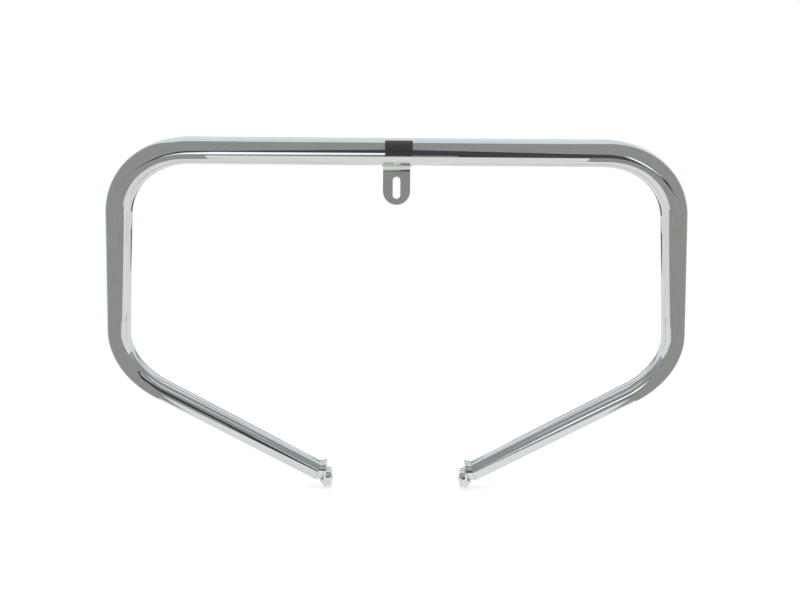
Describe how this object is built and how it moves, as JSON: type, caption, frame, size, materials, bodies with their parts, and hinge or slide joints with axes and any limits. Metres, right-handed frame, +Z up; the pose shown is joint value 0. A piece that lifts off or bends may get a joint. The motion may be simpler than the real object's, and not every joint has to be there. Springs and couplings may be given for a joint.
{
  "type": "motorcycle crash bar",
  "caption": "Bent chromed steel tube that loops out round a motorcycle's engine, with a slotted tab hanging from its top run and a tapped lug at the end of each leg.",
  "frame": {"origin": "centre of the top tab's slot, on the tab's back face", "axes": "+X across the motorcycle, along the top run; +Y back towards the engine, square to the tab's back face; +Z up, with the guard raked as it hangs on a motorcycle's frame"},
  "size_m": [0.8308, 0.3346, 0.5086],
  "materials": {
    "chromed_tube": "bright nickel-chrome plate on polished steel tube",
    "chromed_tab": "bright nickel-chrome plate on flat steel bar",
    "chromed_lug": "bright nickel-chrome plate on forged and turned steel"
  },
  "bodies": {
    "root": {"guard_tube": "chromed_tube", "top_tab": "chromed_tab", "left_end_lug": "chromed_lug", "right_end_lug": "chromed_lug"}
  },
  "joints": []
}
